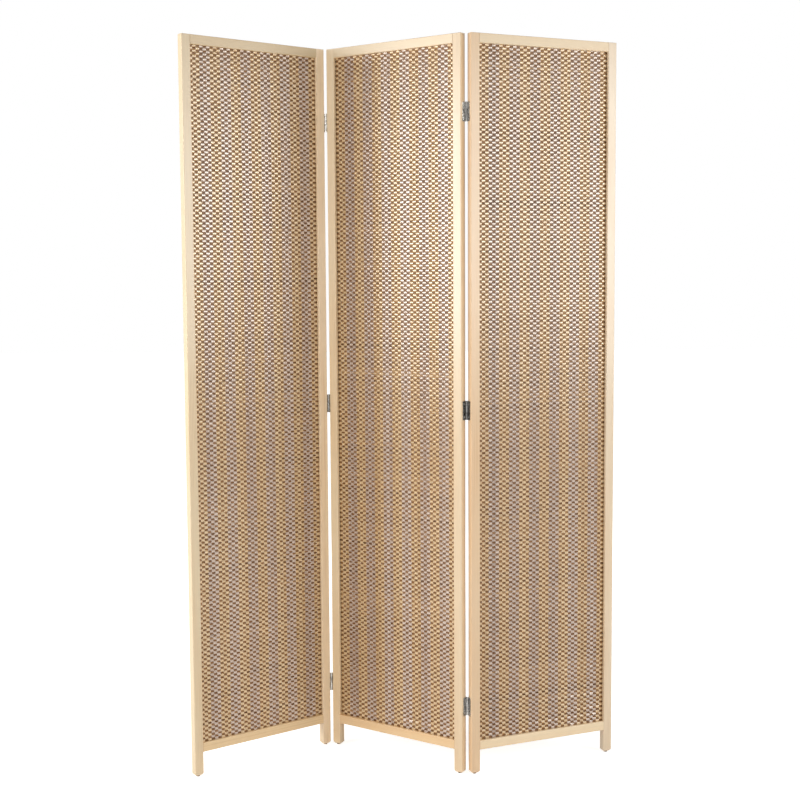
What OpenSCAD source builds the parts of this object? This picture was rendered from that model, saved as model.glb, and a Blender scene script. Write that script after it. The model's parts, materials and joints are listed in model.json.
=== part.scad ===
// Three-panel folding screen: pine frames, woven bamboo mats, butt hinges.
// Origin: floor level, in the middle of the standing screen's outline. Front faces -Y.

/* [Panels] */
// Width of one panel over its two stiles
panel_w = 400; // [300:1:600]
// Height from the floor to the top edge
panel_h = 1790; // [1200:1:2200]
// Thickness of the frame from its front face to its back face
frame_t = 19; // [18:0.5:30]
// Width of a stile, seen from the front
stile_w = 23; // [20:0.5:45]
// Height of the top rail
top_rail_h = 23; // [21:0.5:60]
// Height of the bottom rail
bottom_rail_h = 23; // [21:0.5:80]
// Height of the bottom rail's lower edge above the floor
leg_h = 60; // [25:1:150]
// Radius of the eased long edges
arris_r = 1.5; // [0.5:0.1:3]
// Chamfer round the top end of a stile
top_ease = 0.8; // [0.3:0.1:2]

/* [Folds] */
// Turn of the middle panel away from the X axis, in degrees
middle_turn = 35; // [0:0.5:60]
// Turn at the left fold, 0 in line and 180 folded flat
left_fold = 72; // [20:0.5:140]
// Turn at the right fold, 0 in line and 180 folded flat
right_fold = 58.5; // [20:0.5:140]

/* [Woven mat] */
// Thickness over the woven mat
mat_t = 4; // [3:0.1:6]
// Thickness of the layer of bamboo slats in the middle of the mat
slat_t = 1.6; // [1:0.1:2.4]
// Upright strips that show between the stiles
strips = 38; // [20:1:60]
// Strips in one colour band, counted from the left, natural bands first
band_strips = 3; // [1:1:5]
// Gap between two upright strips
strip_gap = 1.4; // [0.4:0.1:3]
// Depth of the groove that holds the mat's edges
groove_depth = 5; // [3:0.5:7]
// Room on each face of the mat inside its groove
mat_face_room = 0.1; // [0.05:0.05:0.3]
// Room between the mat's side and top edges and the groove's bottom
mat_edge_room = 0.3; // [0.1:0.1:1]

/* [Corner joints] */
// Diameter of a corner dowel
dowel_d = 6; // [4:0.5:7]
// Length of a corner dowel
dowel_len = 30; // [20:1:34]
// Distance between the two dowels of a corner
dowel_pitch = 8; // [7.5:0.5:9]
// Radial room round a dowel
dowel_room = 0.05; // [0.02:0.01:0.1]
// Room at each end of a dowel
dowel_end_room = 0.3; // [0.1:0.1:1]

/* [Hinges] */
// Height of a hinge
hinge_h = 46; // [40:1:80]
// Width of one leaf, from the pin's axis to its free edge
leaf_w = 15; // [13:0.5:17]
// Thickness of the leaf sheet
leaf_t = 1.2; // [0.8:0.1:2]
// Radius at the leaf's free corners
leaf_corner_r = 1.5; // [0.5:0.1:3]
// Half the gap between two closed leaves
leaf_room = 0.9; // [0.3:0.1:1.2]
// Diameter of the hinge pin
pin_d = 3; // [2.5:0.1:4]
// Radial running room between the pin and the swinging leaf
pin_running_room = 0.05; // [0.02:0.01:0.1]
// Radial room between the pin and the leaf that holds it
pin_seat_room = 0.02; // [0.01:0.01:0.05]
// Diameter of the pin's head
pin_head_d = 4.4; // [4.2:0.1:5]
// Height of the pin's head
pin_head_h = 0.7; // [0.4:0.1:1.5]
// Knuckles in a hinge, an odd count
knuckles = 5; // [3:2:7]
// Gap between two knuckles
knuckle_gap = 0.2; // [0.1:0.05:0.5]
// Room between the knuckles and the frame's corner
knuckle_room = 0.15; // [0.1:0.05:0.5]
// Rise of the lower hinges' centre above the bottom rail
lower_hinge_rise = 85; // [40:1:300]
// Height of the middle hinges' centre above the floor
middle_hinge_z = 898; // [600:1:950]
// Drop of the upper hinges' centre below the top rail
upper_hinge_drop = 159; // [40:1:300]

/* [Hinge screws] */
// Diameter of a screw's shank
screw_d = 3; // [2.5:0.1:3.5]
// Length of a screw under the leaf
screw_len = 13; // [8:0.5:16]
// Length of the screw's point
screw_point = 4; // [2:0.5:6]
// Diameter of the countersunk head
screw_head_d = 5.6; // [4.6:0.1:6.5]
// Distance between the two screws of a leaf
screw_pitch = 31; // [20:0.5:34]
// Distance of the screws from the pin's axis
screw_off = 9; // [8:0.5:11]
// Room round a screw in the leaf and in the wood
screw_room = 0.05; // [0.02:0.01:0.2]
// Length of one bar of the cross recess
recess_len = 2.8; // [2:0.1:3.6]
// Width of one bar of the cross recess
recess_w = 0.6; // [0.4:0.1:1]
// Depth of the cross recess
recess_depth = 0.8; // [0.4:0.1:1]

/* [Feet] */
// Width of the chamfer round a leg's end
foot_chamfer_w = 4.5; // [2:0.1:6]
// Height of the chamfer round a leg's end
foot_chamfer_h = 5; // [2:0.1:10]
// Diameter of a glide
glide_d = 10; // [8:0.5:14]
// Thickness of a glide
glide_t = 2.5; // [1.5:0.1:5]
// Radius round a glide's lower edge
glide_edge_r = 0.8; // [0.3:0.1:1.2]
// Diameter of the glide's nail
nail_d = 1.6; // [1:0.1:2.5]
// Length of the glide's nail
nail_len = 14; // [8:0.5:18]
// Radial room round the nail
nail_room = 0.03; // [0.01:0.01:0.1]

/* [Hidden] */

// Cutting tools reach this far past the faces that they open
over = 1;
round_fn = 48;
arris_fn = 24;

// The opening between the stiles and rails, and the grooves round it
opening_w = panel_w - 2 * stile_w;
opening_z0 = leg_h + bottom_rail_h;
opening_z1 = panel_h - top_rail_h;
groove_w = mat_t + 2 * mat_face_room;
groove_z0 = opening_z0 - groove_depth;
groove_z1 = opening_z1 + groove_depth;

// The mat stands on the bottom rail's groove
mat_z0 = groove_z0;
mat_z1 = groove_z1 - mat_edge_room;
mat_w = opening_w + 2 * (groove_depth - mat_edge_room);
strip_step = opening_w / strips;
strip_w = strip_step - strip_gap;
strip_t = (mat_t - slat_t) / 2;

// Hinge geometry: the pin's axis lies outside the edge and proud of one face
edge_gap = leaf_t + leaf_room;
bore_r = pin_d / 2 + pin_running_room;
knuckle_r = bore_r + leaf_t;
notch_r = knuckle_r + knuckle_gap;
corner_r = knuckle_r + knuckle_room;
pin_proud = sqrt(pow(corner_r, 2) - pow(edge_gap, 2));
knuckle_step = hinge_h / knuckles;
lower_hinge_z = opening_z0 + lower_hinge_rise;
upper_hinge_z = opening_z1 - upper_hinge_drop;
hinge_heights = [lower_hinge_z, middle_hinge_z, upper_hinge_z];

// Side of a panel, and the face that its hinge pins stand proud of
on_left = -1;
on_right = 1;
at_front = -1;
at_back = 1;
no_hinge = 0;

// Plan of the standing screen: turn of each panel and the places of the fold axes
function turned(a, p) = [cos(a) * p.x - sin(a) * p.y, sin(a) * p.x + cos(a) * p.y];
function pin_at(side, face) = [side * (panel_w / 2 + edge_gap), face * (frame_t / 2 + pin_proud)];

middle_a = -middle_turn;
left_a = middle_a + left_fold;
right_a = middle_a + right_fold;
left_axis = turned(middle_a, pin_at(on_left, at_front));
right_axis = turned(middle_a, pin_at(on_right, at_back));
left_c = left_axis - turned(left_a, pin_at(on_right, at_front));
right_c = right_axis - turned(right_a, pin_at(on_left, at_back));

// Outline of the plan, from the centres of the eased corners of all three panels
arris_x = panel_w / 2 - arris_r;
arris_y = frame_t / 2 - arris_r;
corners = [
    for (panel = [[middle_a, [0, 0]], [left_a, left_c], [right_a, right_c]])
        for (sx = [-1, 1], sy = [-1, 1])
            panel[1] + turned(panel[0], [sx * arris_x, sy * arris_y])
];
outline_x = [for (c = corners) c.x];
outline_y = [for (c = corners) c.y];
plan_mid = [(min(outline_x) + max(outline_x)) / 2, (min(outline_y) + max(outline_y)) / 2];

echo(left_axis = left_axis - plan_mid, right_axis = right_axis - plan_mid);

// Places

module in_middle_panel() {
    translate(-[plan_mid.x, plan_mid.y, 0])
        rotate([0, 0, middle_a])
            children();
}

module in_left_panel() {
    translate([left_c.x - plan_mid.x, left_c.y - plan_mid.y, 0])
        rotate([0, 0, left_a])
            children();
}

module in_right_panel() {
    translate([right_c.x - plan_mid.x, right_c.y - plan_mid.y, 0])
        rotate([0, 0, right_a])
            children();
}

// Mirrors a piece drawn for the right side and the back face
module facing(side, face) {
    mirror([side < 0 ? 1 : 0, 0, 0])
        mirror([0, face < 0 ? 1 : 0, 0])
            children();
}

// Puts a piece drawn round the pin's axis at an edge of a panel
module at_pin(side, face, z) {
    axis = pin_at(side, face);
    translate([axis.x, axis.y, z])
        facing(side, face)
            children();
}

// Frame

// Upright bar on its end, with its four long edges eased
module eased_bar(w, t, len) {
    linear_extrude(len) {
        square([w - 2 * arris_r, t], center = true);
        square([w, t - 2 * arris_r], center = true);
        for (sx = [-1, 1], sy = [-1, 1])
            translate([sx * (w / 2 - arris_r), sy * (t / 2 - arris_r)])
                circle(arris_r, $fn = arris_fn);
    }
}

// Wedges that chamfer the lower end of a bar that stands at z = 0
module end_chamfer(w, t, cut_w, cut_h) {
    for (side = [[0, w, t], [90, t, w], [180, w, t], [270, t, w]])
        rotate([0, 0, side[0]])
            translate([0, side[2] / 2 + over, 0])
                rotate([90, 0, 0])
                    linear_extrude(side[2] + 2 * over)
                        polygon([
                            [side[1] / 2 - cut_w, 0],
                            [side[1] / 2, cut_h],
                            [side[1] / 2 + over, cut_h],
                            [side[1] / 2 + over, -over],
                            [side[1] / 2 - cut_w, -over]
                        ]);
}

function dowel_zs() = [
    for (mid = [leg_h + (bottom_rail_h - groove_depth) / 2,
                panel_h - (top_rail_h - groove_depth) / 2])
        for (s = [-1, 1])
            mid + s * dowel_pitch / 2
];

// Bores for the dowels of the joint at the right side of the opening
module dowel_bores() {
    reach = dowel_len + 2 * dowel_end_room;
    for (z = dowel_zs())
        translate([opening_w / 2 - reach / 2, 0, z])
            rotate([0, 90, 0])
                cylinder(r = dowel_d / 2 + dowel_room, h = reach, $fn = round_fn);
}

// Stile with its groove, dowel bores, chamfered foot and pilot holes for the hinge screws
module stile(side, face) {
    color("burlywood")
        facing(side, face == no_hinge ? at_back : face)
            difference() {
                translate([(panel_w - stile_w) / 2, 0, glide_t])
                    eased_bar(stile_w, frame_t, panel_h - glide_t);
                translate([opening_w / 2 - over, -groove_w / 2, groove_z0])
                    cube([groove_depth + over, groove_w, groove_z1 - groove_z0]);
                dowel_bores();
                translate([(panel_w - stile_w) / 2, 0, glide_t])
                    end_chamfer(stile_w, frame_t, foot_chamfer_w, foot_chamfer_h);
                translate([(panel_w - stile_w) / 2, 0, panel_h])
                    mirror([0, 0, 1])
                        end_chamfer(stile_w, frame_t, top_ease, top_ease);
                translate([(panel_w - stile_w) / 2, 0, glide_t - over])
                    cylinder(d = nail_d + 2 * nail_room, h = nail_len + over + nail_room,
                             $fn = round_fn);
                if (face != no_hinge)
                    at_pin(on_right, at_back, 0)
                        for (z = hinge_heights)
                            translate([0, 0, z])
                                screw_places()
                                    screw_shape(screw_room);
            }
}

// Rail between the stiles: its lower edge at z, its groove towards the mat
module rail(z, h, groove_at) {
    color("burlywood")
        difference() {
            translate([-opening_w / 2, 0, z + h / 2])
                rotate([0, 90, 0])
                    eased_bar(h, frame_t, opening_w);
            translate([-opening_w / 2 - over, -groove_w / 2, groove_at])
                cube([opening_w + 2 * over, groove_w, groove_depth + over]);
            for (side = [on_left, on_right])
                facing(side, at_back)
                    dowel_bores();
        }
}

module top_rail() {
    rail(opening_z1, top_rail_h, opening_z1 - over);
}

module bottom_rail() {
    rail(leg_h, bottom_rail_h, groove_z0);
}

module corner_dowels() {
    color("wheat")
        for (side = [on_left, on_right], z = dowel_zs())
            translate([side * opening_w / 2 - dowel_len / 2, 0, z])
                rotate([0, 90, 0])
                    cylinder(d = dowel_d, h = dowel_len, $fn = round_fn);
}

// Nail-on glides under the two legs of a panel
module glides() {
    color("dimgray")
        for (side = [on_left, on_right])
            translate([side * (panel_w - stile_w) / 2, 0, 0]) {
                rotate_extrude($fn = round_fn) {
                    square([glide_d / 2 - glide_edge_r, glide_t]);
                    translate([0, glide_edge_r])
                        square([glide_d / 2, glide_t - glide_edge_r]);
                    intersection() {
                        translate([glide_d / 2 - glide_edge_r, glide_edge_r])
                            circle(glide_edge_r, $fn = arris_fn);
                        square([glide_d / 2, glide_t]);
                    }
                }
                translate([0, 0, glide_t / 2])
                    cylinder(d = nail_d, h = glide_t / 2 + nail_len, $fn = round_fn);
            }
}

// Mat

// The slats that run across the mat, as one plain layer in its middle
module mat_slats() {
    color("saddlebrown")
        translate([-mat_w / 2, -slat_t / 2, mat_z0 + strip_t])
            cube([mat_w, slat_t, mat_z1 - mat_z0 - 2 * strip_t]);
}

// Upright strips of every second band, each one a flat run on both faces of the slats
module mat_strips(first_band) {
    for (i = [for (i = [0 : strips - 1]) if (floor(i / band_strips) % 2 == first_band) i])
        translate([(i + 0.5) * strip_step - opening_w / 2, 0, 0])
            difference() {
                translate([-strip_w / 2, -mat_t / 2, mat_z0])
                    cube([strip_w, mat_t, mat_z1 - mat_z0]);
                translate([-strip_w / 2 - over, -slat_t / 2, mat_z0 + strip_t])
                    cube([strip_w + 2 * over, slat_t, mat_z1 - mat_z0 - 2 * strip_t]);
            }
}

module natural_strips() {
    color("tan")
        mat_strips(0);
}

module grey_strips() {
    color("rosybrown")
        mat_strips(1);
}

// Hinges, drawn round the pin's axis for a right edge with the pin at the back

module screw_places() {
    for (s = [-1, 1])
        translate([-leaf_room, -screw_off, s * screw_pitch / 2])
            rotate([0, -90, 0])
                children();
}

// Screw along +Z with its head's top at z = 0, grown by the room round it
module screw_shape(room) {
    shank_end = leaf_t + screw_len - screw_point;
    rotate_extrude($fn = round_fn)
        polygon([
            [0, 0],
            [screw_head_d / 2 + room, 0],
            [screw_d / 2 + room, leaf_t],
            [screw_d / 2 + room, shank_end],
            [0, shank_end + screw_point + room]
        ]);
}

module screw() {
    difference() {
        screw_shape(0);
        for (a = [0, 90])
            rotate([0, 0, a])
                translate([-recess_len / 2, -recess_w / 2, -over])
                    cube([recess_len, recess_w, recess_depth + over]);
    }
}

module hinge_screws(side, face) {
    color("silver")
        for (z = hinge_heights)
            at_pin(side, face, z)
                screw_places()
                    screw();
}

module knuckle(i, r, room) {
    translate([0, 0, -hinge_h / 2 + i * knuckle_step + room])
        cylinder(r = r, h = knuckle_step - 2 * room, $fn = round_fn);
}

// Leaf plate on the wood's edge, with its free corners rounded
module leaf_plate() {
    flat_w = leaf_w - leaf_corner_r;
    translate([-edge_gap, 0, 0])
        rotate([0, 90, 0])
            linear_extrude(leaf_t) {
                translate([-hinge_h / 2, -flat_w])
                    square([hinge_h, flat_w]);
                translate([-hinge_h / 2 + leaf_corner_r, -leaf_w])
                    square([hinge_h - 2 * leaf_corner_r, leaf_w]);
                for (s = [-1, 1])
                    translate([s * (hinge_h / 2 - leaf_corner_r), -flat_w])
                        circle(leaf_corner_r, $fn = arris_fn);
            }
}

// Leaf whose own knuckles are every second one from the first on
module leaf(first, bore) {
    color("silver")
        difference() {
            union() {
                leaf_plate();
                for (i = [first : 2 : knuckles - 1])
                    knuckle(i, knuckle_r, knuckle_gap / 2);
            }
            for (i = [1 - first : 2 : knuckles - 1])
                knuckle(i, notch_r, -knuckle_gap / 2);
            translate([0, 0, -hinge_h / 2 - over])
                cylinder(r = bore, h = hinge_h + 2 * over, $fn = round_fn);
            screw_places()
                screw_shape(screw_room);
        }
}

// The leaf on the middle panel holds the pin
module fixed_leaf(side, face, z) {
    at_pin(side, face, z)
        leaf(0, pin_d / 2 + pin_seat_room);
}

module swing_leaf(side, face, z) {
    at_pin(side, face, z)
        leaf(1, bore_r);
}

module hinge_pin(side, face, z) {
    color("silver")
        at_pin(side, face, z) {
            translate([0, 0, -hinge_h / 2])
                cylinder(d = pin_d, h = hinge_h, $fn = round_fn);
            translate([0, 0, hinge_h / 2])
                cylinder(d = pin_head_d, h = pin_head_h, $fn = round_fn);
        }
}

// Left panel
in_left_panel() stile(on_left, no_hinge);  // left_outer_stile
in_left_panel() stile(on_right, at_front);  // left_hinge_stile
in_left_panel() top_rail();  // left_top_rail
in_left_panel() bottom_rail();  // left_bottom_rail
in_left_panel() corner_dowels();  // left_corner_dowels
in_left_panel() mat_slats();  // left_mat_slats
in_left_panel() natural_strips();  // left_mat_natural_strips
in_left_panel() grey_strips();  // left_mat_grey_strips
in_left_panel() glides();  // left_glides

// Middle panel
in_middle_panel() stile(on_left, at_front);  // middle_left_stile
in_middle_panel() stile(on_right, at_back);  // middle_right_stile
in_middle_panel() top_rail();  // middle_top_rail
in_middle_panel() bottom_rail();  // middle_bottom_rail
in_middle_panel() corner_dowels();  // middle_corner_dowels
in_middle_panel() mat_slats();  // middle_mat_slats
in_middle_panel() natural_strips();  // middle_mat_natural_strips
in_middle_panel() grey_strips();  // middle_mat_grey_strips
in_middle_panel() glides();  // middle_glides

// Right panel
in_right_panel() stile(on_left, at_back);  // right_hinge_stile
in_right_panel() stile(on_right, no_hinge);  // right_outer_stile
in_right_panel() top_rail();  // right_top_rail
in_right_panel() bottom_rail();  // right_bottom_rail
in_right_panel() corner_dowels();  // right_corner_dowels
in_right_panel() mat_slats();  // right_mat_slats
in_right_panel() natural_strips();  // right_mat_natural_strips
in_right_panel() grey_strips();  // right_mat_grey_strips
in_right_panel() glides();  // right_glides

// Left fold
in_middle_panel() fixed_leaf(on_left, at_front, upper_hinge_z);  // left_fold_upper_fixed_leaf
in_left_panel() swing_leaf(on_right, at_front, upper_hinge_z);  // left_fold_upper_swing_leaf
in_middle_panel() hinge_pin(on_left, at_front, upper_hinge_z);  // left_fold_upper_pin
in_middle_panel() fixed_leaf(on_left, at_front, middle_hinge_z);  // left_fold_middle_fixed_leaf
in_left_panel() swing_leaf(on_right, at_front, middle_hinge_z);  // left_fold_middle_swing_leaf
in_middle_panel() hinge_pin(on_left, at_front, middle_hinge_z);  // left_fold_middle_pin
in_middle_panel() fixed_leaf(on_left, at_front, lower_hinge_z);  // left_fold_lower_fixed_leaf
in_left_panel() swing_leaf(on_right, at_front, lower_hinge_z);  // left_fold_lower_swing_leaf
in_middle_panel() hinge_pin(on_left, at_front, lower_hinge_z);  // left_fold_lower_pin
in_left_panel() hinge_screws(on_right, at_front);  // left_fold_screws_left
in_middle_panel() hinge_screws(on_left, at_front);  // left_fold_screws_middle

// Right fold
in_middle_panel() fixed_leaf(on_right, at_back, upper_hinge_z);  // right_fold_upper_fixed_leaf
in_right_panel() swing_leaf(on_left, at_back, upper_hinge_z);  // right_fold_upper_swing_leaf
in_middle_panel() hinge_pin(on_right, at_back, upper_hinge_z);  // right_fold_upper_pin
in_middle_panel() fixed_leaf(on_right, at_back, middle_hinge_z);  // right_fold_middle_fixed_leaf
in_right_panel() swing_leaf(on_left, at_back, middle_hinge_z);  // right_fold_middle_swing_leaf
in_middle_panel() hinge_pin(on_right, at_back, middle_hinge_z);  // right_fold_middle_pin
in_middle_panel() fixed_leaf(on_right, at_back, lower_hinge_z);  // right_fold_lower_fixed_leaf
in_right_panel() swing_leaf(on_left, at_back, lower_hinge_z);  // right_fold_lower_swing_leaf
in_middle_panel() hinge_pin(on_right, at_back, lower_hinge_z);  // right_fold_lower_pin
in_middle_panel() hinge_screws(on_right, at_back);  // right_fold_screws_middle
in_right_panel() hinge_screws(on_left, at_back);  // right_fold_screws_right
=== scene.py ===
# Folding screen in pale pine with woven bamboo mats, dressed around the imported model
import json
import math
import random
import bmesh
import bpy
from mathutils import Matrix, Vector, noise


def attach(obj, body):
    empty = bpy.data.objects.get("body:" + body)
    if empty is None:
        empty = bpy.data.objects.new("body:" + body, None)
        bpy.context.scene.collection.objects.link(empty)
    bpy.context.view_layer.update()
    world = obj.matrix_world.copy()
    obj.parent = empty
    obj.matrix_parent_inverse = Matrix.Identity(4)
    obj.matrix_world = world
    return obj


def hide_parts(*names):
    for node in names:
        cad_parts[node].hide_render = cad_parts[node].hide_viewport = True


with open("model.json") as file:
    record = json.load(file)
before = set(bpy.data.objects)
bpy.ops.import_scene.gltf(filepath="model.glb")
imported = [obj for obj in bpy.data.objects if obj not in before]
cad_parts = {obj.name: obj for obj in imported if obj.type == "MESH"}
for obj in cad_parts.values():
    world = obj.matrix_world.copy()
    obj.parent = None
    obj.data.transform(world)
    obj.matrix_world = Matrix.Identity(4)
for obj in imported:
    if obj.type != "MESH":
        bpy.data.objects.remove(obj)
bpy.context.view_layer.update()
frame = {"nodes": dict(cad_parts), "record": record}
print("screen: packed model loaded")

panelNames = ("left", "middle", "right")
panelBody = {"left": "left_panel", "middle": "middle_panel", "right": "right_panel"}


# Where each panel stands: its two feet in the record give its middle and its turn
def panelTurn(panel):
    feet = {mount["name"]: Vector(mount["pos_m"]) for mount in frame["record"]["mounts"]}
    leftFoot = feet[panel + "_panel_left_foot"]
    rightFoot = feet[panel + "_panel_right_foot"]
    across = rightFoot - leftFoot
    return (leftFoot + rightFoot) / 2, math.atan2(across.y, across.x)


def panelPlace(panel):
    middle, turn = panelTurn(panel)
    return Matrix.Translation((middle.x, middle.y, 0)) @ Matrix.Rotation(turn, 4, "Z")


places = {panel: panelPlace(panel) for panel in panelNames}


# A node's box in its panel's own directions: x across, y to the back, z up
def boxInPanel(node, panel):
    toPanel = places[panel].inverted()
    corners = [toPanel @ vertex.co for vertex in frame["nodes"][node].data.vertices]
    low = Vector([min(corner[i] for corner in corners) for i in range(3)])
    high = Vector([max(corner[i] for corner in corners) for i in range(3)])
    return low, high


# Camera at the photograph's viewing angle
cameraSetup = {
    "place": (-0.0104, -3.3639, 1.2100),
    "pitch": -5.008,      # degrees from the horizon
    "roll": -0.338,       # degrees
    "lens": 61.15,
    "near": 0.05,
    "far": 60,
}


def makeCamera(setup):
    data = bpy.data.cameras.new("camera")
    data.lens = setup["lens"]
    data.clip_start = setup["near"]
    data.clip_end = setup["far"]
    camera = bpy.data.objects.new("camera", data)
    bpy.context.scene.collection.objects.link(camera)
    camera.matrix_world = (
        Matrix.Translation(setup["place"])
        @ Matrix.Rotation(math.radians(90 + setup["pitch"]), 4, "X")
        @ Matrix.Rotation(math.radians(setup["roll"]), 4, "Z")
    )
    bpy.context.scene.camera = camera


makeCamera(cameraSetup)


# Short cuts for shader nodes
def newMaterial(name):
    material = bpy.data.materials.new(name)
    material.use_nodes = True
    tree = material.node_tree
    return material, tree, tree.nodes["Principled BSDF"]


def addNode(tree, kind, links=(), **settings):
    node = tree.nodes.new("ShaderNode" + kind)
    for name, value in settings.items():
        if name in node.inputs:
            node.inputs[name].default_value = value
        else:
            setattr(node, name, value)
    for source, socket in links:
        tree.links.new(source, node.inputs[socket])
    return node


def objectPlace(tree):
    return addNode(tree, "TexCoord").outputs["Object"]


def turned(tree, source, rotation, location=(0, 0, 0)):
    node = addNode(tree, "Mapping", [(source, "Vector")], Location=location, Rotation=rotation)
    return node.outputs["Vector"]


def stretched(tree, source, scale):
    return addNode(tree, "Mapping", [(source, "Vector")], Scale=scale).outputs["Vector"]


def cloud(tree, source, scale, detail=2.0, rough=0.5):
    node = addNode(tree, "TexNoise", [(source, "Vector")], Scale=scale, Detail=detail, Roughness=rough)
    return node.outputs["Fac"]


# A noise mostly stays between 0.3 and 0.7, so that stretch is spread from low to high
def spread(tree, source, low, high, fromLow=0.3, fromHigh=0.7):
    node = addNode(tree, "MapRange", [(source, "Value")])
    node.inputs["From Min"].default_value = fromLow
    node.inputs["From Max"].default_value = fromHigh
    node.inputs["To Min"].default_value = low
    node.inputs["To Max"].default_value = high
    return node.outputs["Result"]


def colours(tree, source, stops):
    node = addNode(tree, "ValToRGB", [(source, "Fac")])
    elements = node.color_ramp.elements
    while len(elements) < len(stops):
        elements.new(0.5)
    for element, (place, colour) in zip(elements, stops):
        element.position = place
        element.color = (*colour, 1)
    return node.outputs["Color"]


def setOrLink(tree, socket, value):
    if isinstance(value, (int, float)):
        socket.default_value = value
    elif isinstance(value, tuple):
        socket.default_value = (*value, 1)
    else:
        tree.links.new(value, socket)


def tinted(tree, base, tint, amount):
    node = addNode(tree, "Mix", data_type="RGBA", blend_type="MULTIPLY", clamp_factor=True)
    factor, first, second = node.inputs[0], node.inputs[6], node.inputs[7]
    for socket, value in ((factor, amount), (first, base), (second, tint)):
        setOrLink(tree, socket, value)
    return node.outputs[2]


def sumOf(tree, operation, first, second):
    node = addNode(tree, "Math", operation=operation)
    for socket, value in zip(node.inputs, (first, second)):
        setOrLink(tree, socket, value)
    return node.outputs["Value"]


def relief(tree, shader, height, distance, strength):
    node = addNode(tree, "Bump", [(height, "Height")], Strength=strength, Distance=distance)
    tree.links.new(node.outputs["Normal"], shader.inputs["Normal"])


# The gloss of fibres spreads across them: the tangent is a direction in the panel's own plane
def glossAcross(tree, shader, direction, amount):
    node = addNode(tree, "VectorTransform", vector_type="VECTOR", convert_from="OBJECT", convert_to="WORLD")
    node.inputs["Vector"].default_value = direction
    tree.links.new(node.outputs["Vector"], shader.inputs["Tangent"])
    shader.inputs["Anisotropic"].default_value = amount


# Pine: growth rings round a pith outside the bar, fine fibres along it, a satin clear coat
pine = {
    "early": (0.83, 0.655, 0.44),
    "late": (0.70, 0.50, 0.30),
    "warm": (1.0, 0.93, 0.84),
    "boardTintsAndShade": {                 # each board's tint: partly its own wood colour, partly painted light and shade (the stiles in the fold painted lighter, the top rails painted darker)
        "left outer_stile": (0.95, 0.97, 0.94),
        "left hinge_stile": (1.14, 1.14, 1.14),
        "left top_rail": (0.80, 0.77, 0.64),
        "left bottom_rail": (0.97, 0.91, 0.75),
        "middle left_stile": (1.08, 1.08, 1.04),
        "middle right_stile": (0.95, 0.93, 0.90),
        "middle top_rail": (0.98, 0.98, 0.94),
        "middle bottom_rail": (0.99, 0.87, 0.68),
        "right hinge_stile": (0.95, 0.86, 0.78),
        "right outer_stile": (0.96, 0.98, 1.03),
        "right top_rail": (0.92, 0.90, 0.82),
        "right bottom_rail": (1.08, 1.08, 1.04),
    },
    "pith": ((0.03, 0.07), (0.02, 0.06), (0, 9)),     # where the rings' middle may lie
    "ringPitch": 0.0034,
    "ringLong": 0.06,           # how much slower the rings change along the board
    "ringWaver": {"Distortion": 5.0, "Detail": 2.0, "Detail Scale": 0.35},
    "ringFade": (0.25, 1.0),    # patches in which the rings are faint or strong
    "ringStops": (0.55, 0.95),  # how far across a ring the late wood starts and ends
    "fibreFine": 1500,
    "fibreLong": 0.012,
    "fibreShade": (0.93, 1.05),
    "patchFine": 26,
    "patchLong": 0.12,
    "patchWarm": (0.0, 0.6, 0.35, 0.7),
    "roughness": (0.30, 0.40),
    "gloss": 0.9,
    "acrossFibres": 0.6,        # how much wider the gloss is across the fibres
    "relief": (0.00006, 0.6),
    "seed": 5,
}
wavesPerMetre = 2 * math.pi / 20      # the wave texture's scale for one ring a metre


def pineMaterial(board, panel, lengthwise, seed):
    draw = random.Random(seed)
    material, tree, shader = newMaterial(board + " pine")
    turn = panelTurn(panel)[1]
    inPanel = turned(tree, objectPlace(tree), (0, 0, -turn))
    quarter = math.pi / 2 if lengthwise == "x" else 0
    pith = tuple(draw.uniform(*reach) for reach in pine["pith"])
    bar = turned(tree, inPanel, (0, quarter, 0), location=pith)
    rings = addNode(tree, "TexWave", [(stretched(tree, bar, (1, 1, pine["ringLong"])), "Vector")],
                    wave_type="RINGS", rings_direction="Z", wave_profile="SAW",
                    Scale=wavesPerMetre / pine["ringPitch"])
    for name, value in pine["ringWaver"].items():
        rings.inputs[name].default_value = value
    fibres = cloud(tree, stretched(tree, bar, (1, 1, pine["fibreLong"])), pine["fibreFine"], 3.0, 0.6)
    patches = cloud(tree, stretched(tree, bar, (1, 1, pine["patchLong"])), pine["patchFine"])
    grain = sumOf(tree, "MULTIPLY", rings.outputs["Fac"], spread(tree, patches, *pine["ringFade"]))
    start, end = pine["ringStops"]
    base = colours(tree, grain, [(0.0, pine["early"]), (start, pine["early"]), (end, pine["late"])])
    fine = spread(tree, fibres, *pine["fibreShade"])
    shade = addNode(tree, "CombineColor", [(fine, "Red"), (fine, "Green"), (fine, "Blue")])
    lit = tinted(tree, base, shade.outputs["Color"], 1.0)
    mottled = tinted(tree, lit, pine["warm"], spread(tree, patches, *pine["patchWarm"]))
    # the board's tint carries painted light and shade as well as its own colour
    final = tinted(tree, mottled, pine["boardTintsAndShade"][board], 1.0)
    tree.links.new(final, shader.inputs["Base Color"])
    tree.links.new(spread(tree, fibres, *pine["roughness"]), shader.inputs["Roughness"])
    shader.inputs["Specular IOR Level"].default_value = pine["gloss"]
    across = (0, 0, 1) if lengthwise == "x" else (math.cos(turn), math.sin(turn), 0)
    glossAcross(tree, shader, across, pine["acrossFibres"])
    relief(tree, shader, sumOf(tree, "ADD", fibres, grain), *pine["relief"])
    return material
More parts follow.
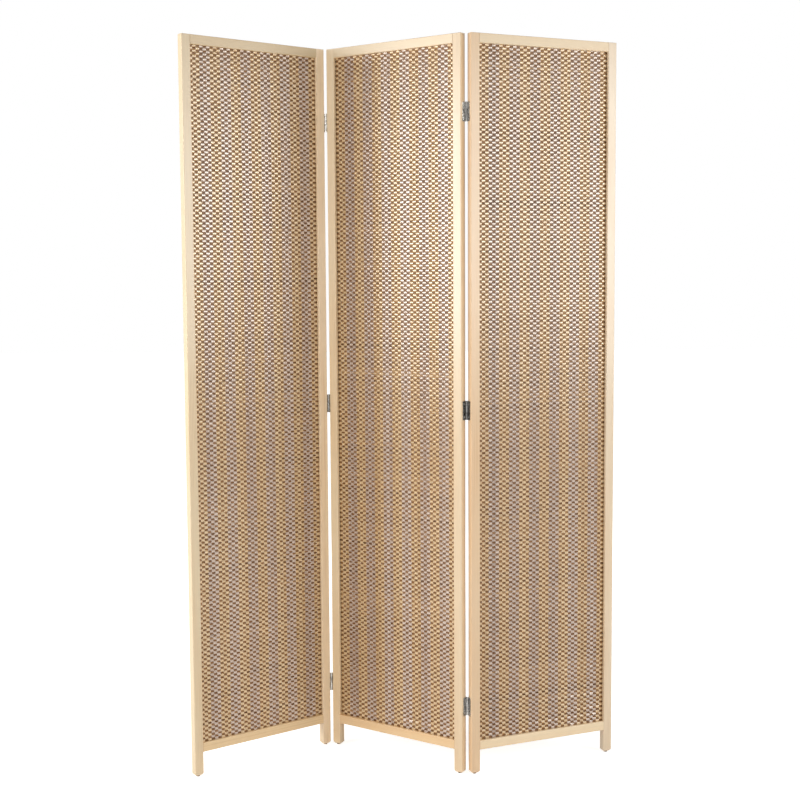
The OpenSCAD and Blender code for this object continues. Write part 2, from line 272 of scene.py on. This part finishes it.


# Bamboo: fibres along the strip, a tone of its own for each strip or slat; the strips' tone also carries
# each panel's painted light or shade
bamboo = {
    "natural": {
        "stops": [(0.0, (0.355, 0.200, 0.080)), (0.35, (0.59, 0.375, 0.175)), (0.6, (0.695, 0.475, 0.246)),
                  (1.0, (0.82, 0.62, 0.37))],
        "squeeze": (1, 1, 0.02),    # fibres run upright
        "roughness": 0.22,
        "gloss": 0.95,
        "density": 1.84,
        "glossTint": (1.0, 0.95, 0.83),
        "acrossFibres": 0.5,
    },
    "grey": {
        "stops": [(0.0, (0.27, 0.175, 0.125)), (0.35, (0.46, 0.332, 0.255)), (0.6, (0.56, 0.425, 0.335)),
                  (1.0, (0.72, 0.59, 0.49))],
        "squeeze": (1, 1, 0.02),
        "roughness": 0.22,
        "gloss": 1.0,
        "density": 1.87,
        "glossTint": (1.0, 0.94, 0.86),
        "acrossFibres": 0.5,
    },
    "brown": {
        "stops": [(0.0, (0.085, 0.031, 0.008)), (0.35, (0.18, 0.076, 0.024)), (0.6, (0.255, 0.120, 0.045)),
                  (1.0, (0.40, 0.23, 0.105))],
        "squeeze": (0.02, 1, 1),    # fibres run across the panel
        "roughness": 0.36,
        "gloss": 0.3,
        "density": 1.5,
        "glossTint": (1.0, 0.90, 0.76),
        "acrossFibres": 0.0,
    },
    "fibreFine": 1900,
    "fibreTone": 0.07,
    "streakFine": 420,
    "streakTone": 0.09,
    "smoother": 0.03,               # how far the roughness may fall and rise with the fibres
    "rougher": 0.05,
    "relief": (0.00003, 0.5),
}


def bambooMaterial(name, recipe, turn):
    material, tree, shader = newMaterial(name)
    inPanel = turned(tree, objectPlace(tree), (0, 0, -turn))
    strand = stretched(tree, inPanel, recipe["squeeze"])
    fibres = cloud(tree, strand, bamboo["fibreFine"], 2.0, 0.6)
    streaks = cloud(tree, strand, bamboo["streakFine"])
    # the attribute holds each strip's or slat's own tone, and for the strips also their panel's painted
    # light or shade
    toneAndShade = addNode(tree, "Attribute", attribute_name="toneAndShade").outputs["Fac"]
    fine = sumOf(tree, "ADD", spread(tree, fibres, -bamboo["fibreTone"], bamboo["fibreTone"]),
                 spread(tree, streaks, -bamboo["streakTone"], bamboo["streakTone"]))
    base = colours(tree, sumOf(tree, "ADD", toneAndShade, fine), recipe["stops"])
    tree.links.new(base, shader.inputs["Base Color"])
    rough = spread(tree, fibres, recipe["roughness"] - bamboo["smoother"],
                   recipe["roughness"] + bamboo["rougher"])
    tree.links.new(rough, shader.inputs["Roughness"])
    shader.inputs["Specular IOR Level"].default_value = recipe["gloss"]
    shader.inputs["IOR"].default_value = recipe["density"]
    shader.inputs["Specular Tint"].default_value = (*recipe["glossTint"], 1)
    glossAcross(tree, shader, (math.cos(turn), math.sin(turn), 0), recipe["acrossFibres"])
    relief(tree, shader, fibres, *bamboo["relief"])
    return material


# Woven mat: flexible upright strips pass over and under stiff cross slats; lengths in metres
mat = {
    "strips": 38,
    "bandStrips": 3,              # natural and grey bands from the left
    "rowPitch": {"left": 0.00603, "middle": 0.00596, "right": 0.00600},
    "rowScatter": 0.00008,
    "drift": 0.0009,              # neighbouring slats rise and fall together
    "driftBends": (4.0, 9.0),     # bends a metre, across and up
    "wander": 0.00018,            # and each one bends a little of its own
    "wanderBends": (7.0, 0.9),    # bends a metre across, and a row
    "wanderSeed": 7.0,
    "plainTone": 0.5,             # middle of the colour stops
    "seed": {"left": 41, "middle": 52, "right": 63},
    "drawSeed": 100,
}
strip = {
    "wide": 0.0094,
    "wideSpread": (0.99, 1.005),
    "thick": 0.00040,
    "swing": 0.00145,             # how far a strip's middle leaves the mat's middle
    "swingSpread": (0.95, 1.05),
    "crestLong": 0.0021,          # its gently bent length over each slat
    "crestDrop": 0.00007,         # and how far that part's ends fall back
    "crestScatter": 0.00004,
    "lean": 0.00003,
    "sway": 0.00010,
    "swayBends": (3.7, 6.0),
    "crease": 14,                 # degrees; steeper bends than this show as an edge
    "toneAndShade": {"left": 0.16, "middle": 0.05, "right": -0.08},      # painted light and shade: how much lighter each panel's whole mat is painted, for how brightly that panel is lit
    "toneScatter": 0.10,
    "rowToneScatter": 0.025,
    "jointTone": 0.16,            # a joint of the cane is darker
    "firstJoint": (0.0, 0.3),
    "jointGap": (0.22, 0.38),
}
slat = {
    "wide": 0.0042,
    "wideSpread": (0.93, 1.07),
    "thick": 0.00160,
    "bends": 7,
    "crease": 60,
    "toneScatter": 0.13,
    "toneDrift": 0.12,            # how much lighter and darker it turns along its length
    "toneBends": (14.0, 1.7),
    "toneSeed": 3.0,
}


def makeRows(panel, low, high):
    draw = random.Random(mat["seed"][panel])
    pitch = mat["rowPitch"][panel]
    count = int((high.z - low.z) / pitch)
    first = low.z + (high.z - low.z - (count - 1) * pitch) / 2
    return [first + row * pitch + draw.gauss(0, mat["rowScatter"]) for row in range(count)]


# Height of a slat's middle at a place across the mat
def slatHeight(panel, rows, row, x):
    seed = mat["seed"][panel]
    across, up = mat["driftBends"]
    drift = noise.noise(Vector((x * across, rows[row] * up, seed)))
    across, up = mat["wanderBends"]
    wander = noise.noise(Vector((x * across, row * up, seed + mat["wanderSeed"])))
    return rows[row] + mat["drift"] * drift + mat["wander"] * wander


def isOver(index, row):
    return (index + row) % 2 == 0


# Stations up a strip: its crest over or under each slat, and the shoulder on each side
def stripStations(panel, rows, index, x, bottom, top, draw):
    stations = [(bottom, 0.0)]
    reach = strip["crestLong"] / 2
    for row in range(len(rows)):
        height = slatHeight(panel, rows, row, x) + draw.gauss(0, strip["crestScatter"])
        side = -1 if isOver(index, row) else 1
        swing = strip["swing"] * draw.uniform(*strip["swingSpread"])
        shoulder = side * (swing - strip["crestDrop"])
        stations += [(height - reach, shoulder), (height, side * swing), (height + reach, shoulder)]
    stations.append((top, 0.0))
    return stations


def stripTonesAndShade(panel, rows, draw):
    # each panel's painted light or shade is added to every strip's own tone
    own = mat["plainTone"] + strip["toneAndShade"][panel] + draw.gauss(0, strip["toneScatter"])
    joint = rows[0] + draw.uniform(*strip["firstJoint"])
    tones = []
    for height in rows:
        toneAndShade = own + draw.gauss(0, strip["rowToneScatter"])
        if height > joint:
            toneAndShade -= strip["jointTone"]
            joint += draw.uniform(*strip["jointGap"])
        tones.append(toneAndShade)
    return tones


def weaveStrip(bm, tones, panel, rows, index, x, bottom, top, draw):
    stations = stripStations(panel, rows, index, x, bottom, top, draw)
    rowTonesAndShade = stripTonesAndShade(panel, rows, draw)
    made = bmesh.ops.create_grid(bm, x_segments=1, y_segments=len(stations) - 1, size=0.5)
    wide = strip["wide"] * draw.uniform(*strip["wideSpread"])
    lean = draw.gauss(0, strip["lean"])
    own, up = strip["swayBends"]
    for number, vertex in enumerate(made["verts"]):
        station, side = divmod(number, 2)
        z, depth = stations[station]
        sway = strip["sway"] * noise.noise(Vector((index * own, z * up, mat["seed"][panel])))
        across = (side - 0.5) * wide
        vertex.co = (x + sway + across + lean * (z - bottom), depth - strip["thick"] / 2, z)
        vertex[tones] = rowTonesAndShade[min(max(station - 1, 0) // 3, len(rows) - 1)]


def newBand():
    bm = bmesh.new()
    return bm, bm.verts.layers.float.new("toneAndShade")


# Turned into its place, a panel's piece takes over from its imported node
def pieceFrom(bm, name, panel, material, node, crease):
    bmesh.ops.transform(bm, matrix=places[panel], verts=bm.verts[:])
    for face in bm.faces:
        face.smooth = True
    mesh = bpy.data.meshes.new(name)
    bm.to_mesh(mesh)
    bm.free()
    mesh.materials.append(material)
    mesh.set_sharp_from_angle(angle=math.radians(crease))
    piece = bpy.data.objects.new(name, mesh)
    bpy.context.scene.collection.objects.link(piece)
    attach(piece, panelBody[panel])
    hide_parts(node)


def weaveStrips(panel, rows, tint, band, material, draw):
    node = panel + "_mat_" + tint + "_strips"
    low, high = boxInPanel(node, panel)
    openLow, openHigh = boxInPanel(panel + "_bottom_rail", panel)
    step = (openHigh.x - openLow.x) / mat["strips"]
    indexes = [index for index in range(mat["strips"]) if index // mat["bandStrips"] % 2 == band]
    bm, tones = newBand()
    for index in indexes:
        x = openLow.x + (index + 0.5) * step
        weaveStrip(bm, tones, panel, rows, index, x, low.z, high.z, draw)
    bmesh.ops.solidify(bm, geom=bm.faces[:], thickness=strip["thick"])
    pieceFrom(bm, panel + "_" + tint + "_strips", panel, material, node, strip["crease"])


# One slat blank, six-sided and flat, is copied for each row and bent to its height
def weaveSlats(panel, rows, low, high, material, draw):
    bm, tones = newBand()
    blank = bmesh.ops.create_cone(bm, cap_ends=True, segments=6, radius1=0.5, radius2=0.5, depth=1)
    bmesh.ops.rotate(bm, verts=blank["verts"], matrix=Matrix.Rotation(math.pi / 2, 3, "Y"))
    lengthwise = [edge for edge in bm.edges if abs(edge.verts[0].co.x - edge.verts[1].co.x) > 0.5]
    bmesh.ops.subdivide_edges(bm, edges=lengthwise, cuts=slat["bends"], use_grid_fill=True)
    first = bm.verts[:] + bm.edges[:] + bm.faces[:]
    across, up = slat["toneBends"]
    for row in range(len(rows)):
        wide = slat["wide"] * draw.uniform(*slat["wideSpread"])
        own = mat["plainTone"] + draw.gauss(0, slat["toneScatter"])
        copy = bmesh.ops.duplicate(bm, geom=first)
        for vertex in copy["geom"]:
            if isinstance(vertex, bmesh.types.BMVert):
                x = low.x + (vertex.co.x + 0.5) * (high.x - low.x)
                y = vertex.co.y * slat["thick"]
                z = slatHeight(panel, rows, row, x) + vertex.co.z * wide
                drift = noise.noise(Vector((x * across, row * up, slat["toneSeed"])))
                vertex[tones] = own + slat["toneDrift"] * drift
                vertex.co = (x, y, z)
    bmesh.ops.delete(bm, geom=[item for item in first if isinstance(item, bmesh.types.BMVert)],
                     context="VERTS")
    pieceFrom(bm, panel + "_slats", panel, material, panel + "_mat_slats", slat["crease"])


for panel in panelNames:
    draw = random.Random(mat["seed"][panel] + mat["drawSeed"])
    low, high = boxInPanel(panel + "_mat_slats", panel)
    rows = makeRows(panel, low, high)
    turn = panelTurn(panel)[1]
    for band, tint in enumerate(("natural", "grey")):
        tinged = bambooMaterial(panel + " " + tint + " bamboo", bamboo[tint], turn)
        weaveStrips(panel, rows, tint, band, tinged, draw)
    brown = bambooMaterial(panel + " brown bamboo", bamboo["brown"], turn)
    weaveSlats(panel, rows, low, high, brown, draw)
    print("screen:", panel, "mat woven,", len(rows), "slats")


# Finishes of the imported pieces
def dress(node, material):
    materials = frame["nodes"][node].data.materials
    materials.clear()
    materials.append(material)


barNames = {
    "left": ("outer_stile", "hinge_stile"),
    "middle": ("left_stile", "right_stile"),
    "right": ("hinge_stile", "outer_stile"),
}
seed = pine["seed"]
for panel in panelNames:
    for bar in barNames[panel] + ("top_rail", "bottom_rail"):
        lengthwise = "x" if "rail" in bar else "z"
        seed += 1
        dress(panel + "_" + bar, pineMaterial(panel + " " + bar, panel, lengthwise, seed))


# Plated metal: streaks left by the rolling, smudges that dull it, fine brush marks; each hinge's plating is
# painted lighter or darker, a painted reflection
metal = {
    "nickel": {"bright": (0.64, 0.63, 0.61), "worn": (0.20, 0.195, 0.185), "roughness": (0.20, 0.34)},
    "zinc": {"bright": (0.66, 0.65, 0.63), "worn": (0.50, 0.49, 0.47), "roughness": (0.26, 0.42)},
    "paintedReflection": {"upper": 1.15, "middle": 0.5, "lower": 0.95},   # painted reflection: how much lighter or darker each hinge's plating is painted, for the surroundings it reflects
    "smudgeFine": 160,
    "streakFine": 700,
    "streakLong": 0.08,
    "streakStops": (0.40, 0.58),
    "brushFine": 4000,
    "brushLong": 0.04,
    "relief": (0.00001, 0.4),
}


def metalMaterial(name, recipe, paintedReflection=1.0):
    material, tree, shader = newMaterial(name)
    place = objectPlace(tree)
    smudges = cloud(tree, place, metal["smudgeFine"], 3.0)
    streaks = cloud(tree, stretched(tree, place, (1, 1, metal["streakLong"])), metal["streakFine"])
    brushed = cloud(tree, stretched(tree, place, (1, 1, metal["brushLong"])), metal["brushFine"])
    # the hinge's painted reflection scales both plating colours
    worn = [value * paintedReflection for value in recipe["worn"]]
    bright = [value * paintedReflection for value in recipe["bright"]]
    dull, shiny = metal["streakStops"]
    base = colours(tree, streaks, [(dull, worn), (shiny, bright)])
    tree.links.new(base, shader.inputs["Base Color"])
    tree.links.new(spread(tree, smudges, *recipe["roughness"]), shader.inputs["Roughness"])
    shader.inputs["Metallic"].default_value = 1.0
    relief(tree, shader, brushed, *metal["relief"])
    return material


# Glides and dowels: a fine mottle over one plain colour
plain = {
    "glide plastic": {"dark": (0.3, (0.060, 0.036, 0.024)), "light": (0.7, (0.095, 0.062, 0.043)),
                      "fine": 900, "rough": (0.45, 0.6, 0.0, 1.0), "relief": (0.00004, 0.5)},
    "dowel beech": {"dark": (0.35, (0.52, 0.36, 0.22)), "light": (0.65, (0.64, 0.47, 0.31)),
                    "fine": 1200, "rough": (0.52, 0.68, 0.3, 0.7), "relief": (0.00003, 0.5)},
}


def plainMaterial(name):
    recipe = plain[name]
    material, tree, shader = newMaterial(name)
    mottle = cloud(tree, objectPlace(tree), recipe["fine"], 3.0)
    tree.links.new(colours(tree, mottle, [recipe["dark"], recipe["light"]]), shader.inputs["Base Color"])
    tree.links.new(spread(tree, mottle, *recipe["rough"]), shader.inputs["Roughness"])
    relief(tree, shader, mottle, *recipe["relief"])
    return material


nickel = {level: metalMaterial(level + " nickel plate", metal["nickel"], paintedReflection)
          for level, paintedReflection in metal["paintedReflection"].items()}
zinc = metalMaterial("zinc screw", metal["zinc"])
glidePlastic = plainMaterial("glide plastic")
beech = plainMaterial("dowel beech")
for node in frame["nodes"]:
    if "screws" in node:
        dress(node, zinc)
    elif "leaf" in node or node.endswith("pin"):
        level = node.split("_")[2]
        dress(node, nickel[level])
    elif node.endswith("glides"):
        dress(node, glidePlastic)
    elif node.endswith("dowels"):
        dress(node, beech)
print("screen: frames, hinges and feet finished")


# Studio: white surround, pale floor, a large soft lamp on each side and weak ones low in front,
# behind and overhead
studio = {
    "ambient": 0.15,
    "floorSize": 40.0,
    "floorColour": (0.93, 0.92, 0.91),
    "floorRough": 0.9,
    "floorLift": 0.66,        # added for camera, mirror and glass rays, so the floor reads white
    "farWhite": (1.0, 3.0),   # distances between which the floor turns plain white
    "lamps": [
        {"name": "left", "place": (-2.86, -1.38, 1.52), "wide": 2.2, "tall": 1.35, "power": 80},
        {"name": "right", "place": (2.76, -1.58, 1.52), "wide": 2.0, "tall": 1.35, "power": 51},
        {"name": "low", "place": (0.0, -2.7, 0.3), "wide": 2.4, "tall": 0.6, "power": 7},
        {"name": "rear", "place": (-0.4, 3.0, 1.7), "wide": 3.2, "tall": 1.4, "power": 30},
        {"name": "top", "place": (0.0, -0.1, 3.6), "wide": 2.4, "tall": 0.8, "power": 7},
    ],
    "aim": (0.0, 0.0, 1.0),
}


# 1 for a ray that should see plain white: camera, mirror or glass
def seesWhite(tree):
    path = addNode(tree, "LightPath")
    mirror = sumOf(tree, "MAXIMUM", path.outputs["Is Glossy Ray"], path.outputs["Is Transmission Ray"])
    return sumOf(tree, "MAXIMUM", path.outputs["Is Camera Ray"], mirror)


def makeWorld():
    world = bpy.data.worlds.new("surround")
    bpy.context.scene.world = world
    world.use_nodes = True
    tree = world.node_tree
    back = tree.nodes["Background"]
    back.inputs["Color"].default_value = (1, 1, 1, 1)
    strength = spread(tree, seesWhite(tree), studio["ambient"], 1.0, 0.0, 1.0)
    tree.links.new(strength, back.inputs["Strength"])


def makeFloor():
    bm = bmesh.new()
    bmesh.ops.create_grid(bm, x_segments=1, y_segments=1, size=studio["floorSize"] / 2)
    mesh = bpy.data.meshes.new("floor")
    bm.to_mesh(mesh)
    bm.free()
    floor = bpy.data.objects.new("floor", mesh)
    bpy.context.scene.collection.objects.link(floor)
    material, tree, shader = newMaterial("pale floor")
    shader.inputs["Base Color"].default_value = (*studio["floorColour"], 1)
    shader.inputs["Roughness"].default_value = studio["floorRough"]
    shader.inputs["Specular IOR Level"].default_value = 0.0
    shader.inputs["Emission Color"].default_value = (1, 1, 1, 1)
    far = addNode(tree, "VectorMath", [(objectPlace(tree), "Vector")], operation="LENGTH").outputs["Value"]
    lift = spread(tree, far, studio["floorLift"], 1.0, *studio["farWhite"])
    tree.links.new(sumOf(tree, "MULTIPLY", seesWhite(tree), lift), shader.inputs["Emission Strength"])
    mesh.materials.append(material)


def makeLamp(setup):
    data = bpy.data.lights.new(setup["name"] + " lamp", "AREA")
    data.shape = "RECTANGLE"
    data.size = setup["wide"]
    data.size_y = setup["tall"]
    data.energy = setup["power"]
    lamp = bpy.data.objects.new(setup["name"] + " lamp", data)
    bpy.context.scene.collection.objects.link(lamp)
    lamp.location = setup["place"]
    lamp.rotation_euler = (Vector(studio["aim"]) - lamp.location).to_track_quat("-Z", "Y").to_euler()


makeWorld()
makeFloor()
for lampSetup in studio["lamps"]:
    makeLamp(lampSetup)
bpy.context.scene.view_settings.view_transform = "Standard"
print("screen: studio ready")
